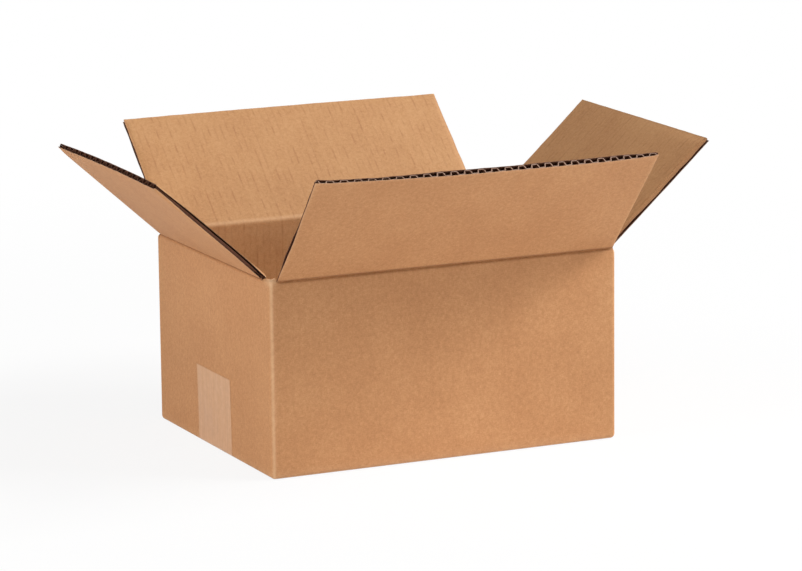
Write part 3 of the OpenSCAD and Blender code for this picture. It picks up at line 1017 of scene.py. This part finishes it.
for name, flap in flaps.items():
    wall = walls[name]
    u_shift = wall["start"] + wall["half"]
    start_wall = sides(name)[0] - side_gap
    end_wall = sides(name)[1] + side_gap
    ends = np.array([start_wall, start_wall + 0.6, start_wall + 1.5])
    middle_x = np.linspace(start_wall + 2.6, end_wall - 2.6, int((end_wall - start_wall) / 2))
    even_x = np.concatenate([ends, middle_x, start_wall + end_wall - ends[::-1]])[None, :]
    sheets = []
    grids = {}
    for inner in (False, True):
        for under in (0.0, liner, liner + 0.04):
            path, away = score_section(name, inner, under)
            run = np.concatenate([[0], np.cumsum(np.hypot(*np.diff(path, axis=0).T))])
            share = (run / run[-1])[:, None]
            shrink = side_gap * np.clip((share - 0.35) * 4, 0, 1)
            to_start = np.clip(1 - (even_x - start_wall) / 3, 0, 1)
            to_end = np.clip(1 - (end_wall - even_x) / 3, 0, 1)
            x = even_x + shrink * (to_start - to_end)
            lean = press_side(name, x, score_run)
            lean = 1 - lean if inner else 1 + lean
            thin = (1 - kept(name, x, score_run)) * board / 2 * lean * np.clip(share * 1.6, 0, 1)
            pucker = 0.05 * wander(x, 0.45, flap["seed"] + inner) * np.sin(share * math.pi)
            depth = path[:, 0][:, None] + 0 * x
            if not inner:
                from_slots = np.minimum(x - x[:, :1], x[:, -1:] - x)
                buckled = under + (depth - under) * np.clip(from_slots / 2.5, 0, 1)
                depth = np.where(depth > under, buckled, depth)
            depth = depth + thin * away[:, 0][:, None] + pucker
            z = path[:, 1][:, None] + thin * away[:, 1][:, None]
            grids[inner, under] = (in_wall(wall, x, depth, z + score), x, share, run)
        face, x, share, run = grids[inner, 0.0]
        # Painted highlight along the inner bend; painted shade down the outer crease.
        if inner:
            worn_and_painted_light = 0.4 * np.exp(-((share - 0.6) / 0.09) ** 2) + 0.14 * np.clip(1.2 - share * 2, 0, 1)
        else:
            worn_and_painted_light = -0.85 * np.exp(-((share - 0.54) / 0.1) ** 2)
        sheets.append(leaf(
            face, grids[inner, liner][0], x + u_shift, score + run[:, None] - strip_low + 0 * x,
            worn_and_painted_light, (INSIDE if inner else OUTSIDE, WAVY, CUT),
        ))
    core = []
    places = np.linspace(0, 1, 12)
    for inner in (False, True):
        points, x, share, run = grids[inner, liner + 0.04]
        core.append(np.array([
            [np.interp(places, share[:, 0], points[:, column, axis]) for axis in range(3)]
            for column in range(1, points.shape[1] - 1)
        ]).transpose(2, 0, 1))
    core_v = np.linspace(score - 3, score + 3, 12)[:, None]
    crushed_face, crushed_back = (core[0] + (core[1] - core[0]) * share for share in core_shares)
    sheets.append(leaf(
        crushed_face, crushed_back, x[:1, 1:-1] + u_shift, core_v, 0.0, (WAVY, WAVY, WAVY),
    ))
    made = piece(name + "_score", sheets, papers)
    half_turn = math.radians(flap["open"]) / 2
    lean_depth = -math.sin(half_turn)
    lean_up = math.cos(half_turn)
    wall_ends = [score_section(name, inner, 0.0)[0][0] for inner in (False, True)]
    flap_ends = [score_section(name, inner, 0.0)[0][-1] for inner in (False, True)]
    low = max(depth * lean_depth + z * lean_up for depth, z in wall_ends)
    high = min(depth * lean_depth + z * lean_up for depth, z in flap_ends)
    low_end, high_end = (in_wall(wall, 0.0, run * lean_depth, run * lean_up + score) for run in (low, high))
    name + "_flap"
    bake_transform(made)

# Tape: one strip of clear film over the bottom seam and up both ends, cut with
# a toothed blade. Kraft shows through it, a little paler.
tape_up = 44.3
tape_lean = 2.4
tape_bend = fold_radius + tape_film
film_thickness = 0.12
tooth_depth = 0.7
tooth_count = 30
tape_columns = 2 * tooth_count + 1
tape_run = []
for height in np.linspace(tape_up, tape_bend, 8):
    tape_run.append((-length / 2 - tape_film, height, -1, 0))
for angle in np.linspace(0, math.pi / 2, 7)[1:]:
    tape_run.append((
        -length / 2 - tape_film + tape_bend * (1 - math.cos(angle)),
        tape_bend * (1 - math.sin(angle)), -math.cos(angle), -math.sin(angle),
    ))
for x in np.linspace(-96, 0, 10):
    tape_run.append((x, 0.0, 0, -1))
tape_run = tape_run + [(-x, z, -nx, nz) for x, z, nx, nz in tape_run[-2::-1]]
tape_x, tape_z, tape_nx, tape_nz = (np.array(part)[:, None] for part in zip(*tape_run))
tape_share = np.linspace(-1, 1, tape_columns)[None, :]
lean = tape_lean * np.clip(tape_z / tape_up, 0, 1)
tape_y = tape_shift + tape_half * tape_share + lean
tape_zs = tape_z + 0 * tape_share
tooth = tooth_depth * (np.arange(tape_columns) % 2)
tape_zs[0] -= tooth
tape_zs[-1] -= tooth
tape_u = np.where(tape_x < 0, 1.5 * width + 2 * length - tape_y, length + width / 2 + tape_y)
tape_hollow = ripple(tape_u, first_wave) + panel_bow(tape_u, tape_z + 0 * tape_u)
tape_hollow = tape_hollow * np.clip((tape_z - 2) / 8, 0, 1)
tape_xs = tape_x - tape_nx * tape_hollow
tape_face = stack(tape_xs, tape_y, tape_zs)
tape_reverse = stack(tape_xs - tape_nx * film_thickness, tape_y, tape_zs - tape_nz * film_thickness)
tape_length = np.concatenate([[0], np.cumsum(np.hypot(np.diff(tape_x[:, 0]), np.diff(tape_z[:, 0])))])
film = leaf(tape_face, tape_reverse, tape_y, tape_length[:, None] + 0 * tape_y, 0.0, (0, 0, 0))


def film_finish():
    """Glossy film with the kraft behind it, faint runs along it and small blisters."""
    material, wire = bare_material("clear tape")
    place = wire.node("ShaderNodeTexCoord", (), (), "Object")
    sheet = wire.node("ShaderNodeUVMap", {"uv_map": "sheet"})
    blotch = wire.noise(place, 330, 3, 0.6)
    cloud = wire.noise(place, 60, 2)
    run = wire.noise(wire.stretched(sheet, (0.0016, 0.05, 1)), 1, 3)
    blister = wire.noise(sheet, 240, 2).ramp(0.62, 0.72)
    shade = 0.5 + 0.5 * (blotch - 0.5) + 0.5 * (run - 0.5) + 0.3 * (cloud - 0.5) + 0.12 * blister
    stops = [(0.2, rgb(194, 144, 102)), (0.5, rgb(208, 158, 114)), (0.85, rgb(222, 176, 134))]
    colour = wire.node("ShaderNodeValToRGB", {"stops": stops}, {0: shade})
    height = run * 0.5 + blister * 0.3
    surface = wire.node("ShaderNodeBsdfPrincipled", (), {
        "Base Color": colour,
        "Roughness": 0.34 + 0.2 * cloud,
        "Normal": wire.bump(height, 0.25, 0.0002),
    })
    wire.node("ShaderNodeOutputMaterial", (), {"Surface": surface})
    return material


tape_strip = piece("tape_strip", [film], [film_finish()])
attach(tape_strip, "carton")
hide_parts("sealing_tape")

# Studio: a white floor that runs out to a white surround, and large soft lamps
# at the left, above, in front and at the right.
floor_size = 8.0
floor_drop = 0.0002
# Share of pure white in the floor beside the carton, and where it fades to all white
floor_white = 0.88
floor_fade = (0.25, 0.9)
surround_strength = 0.15
lamp_aim = Vector((0, 0, 0.08))


def looked_at(wire):
    """1 where a ray comes from the camera, a reflection or glass, and 0 elsewhere."""
    looked = 0.0
    for output in ("Is Camera Ray", "Is Glossy Ray", "Is Transmission Ray"):
        looked = wire.maths("MAXIMUM", looked, wire.node("ShaderNodeLightPath", (), (), output))
    return looked


def floor_finish():
    """White floor that keeps a faint shadow and fades into the white surround."""
    material, wire = bare_material("studio floor")
    place = wire.node("ShaderNodeTexCoord", (), (), "Object")
    away = wire.node("ShaderNodeVectorMath", {"operation": "LENGTH"}, {0: place}, "Value")
    share = looked_at(wire) * (floor_white + (1 - floor_white) * away.ramp(*floor_fade))
    white = wire.node("ShaderNodeEmission", (), {"Color": (1, 1, 1, 1), "Strength": 1.0})
    matt = wire.node("ShaderNodeBsdfDiffuse", (), {"Color": (0.92, 0.92, 0.92, 1)})
    both = wire.node("ShaderNodeMixShader", (), {0: share, 1: matt, 2: white})
    wire.node("ShaderNodeOutputMaterial", (), {"Surface": both})
    return material


floor_mesh = bpy.data.meshes.new("floor")
floor_mesh.from_pydata(
    [(x * floor_size, y * floor_size, 0) for x, y in ((-1, -1), (1, -1), (1, 1), (-1, 1))],
    [], [[0, 1, 2, 3]],
)
floor_mesh.materials.append(floor_finish())
floor = bpy.data.objects.new("floor", floor_mesh)
floor.location.z = -floor_drop
scene.collection.objects.link(floor)

surround = bpy.data.worlds.new("surround")
surround.use_nodes = True
surround.node_tree.nodes.clear()
sky = Wire(surround.node_tree)
glow = sky.node("ShaderNodeBackground", (), {
    "Color": (1, 1, 1, 1),
    "Strength": surround_strength + (1 - surround_strength) * looked_at(sky),
})
sky.node("ShaderNodeOutputWorld", (), {"Surface": glow})
scene.world = surround

# Each lamp's place, the length of its sides and its power
lamps = {
    "low left lamp": ((-2.8, -0.4, 0.35), 1.2, 33.0),
    "high left lamp": ((-2.3, -0.4, 1.7), 1.2, 15.0),
    "top lamp": ((0.0, -1.3, 2.6), 1.4, 6.0),
    "front lamp": ((0.6, -2.9, 0.4), 1.0, 6.0),
    "right front lamp": ((1.8, -1.2, 2.1), 0.8, 42.0),
    "right lamp": ((2.2, -0.5, 1.8), 0.8, 46.0),
}
for name, (place, size, power) in lamps.items():
    lamp = bpy.data.lights.new(name, "AREA")
    lamp.shape = "SQUARE"
    lamp.size = size
    lamp.energy = power
    stand = bpy.data.objects.new(name, lamp)
    stand.location = place
    stand.rotation_mode = "QUATERNION"
    stand.rotation_quaternion = (lamp_aim - Vector(place)).to_track_quat("-Z", "Y")
    scene.collection.objects.link(stand)

bpy.context.view_layer.update()
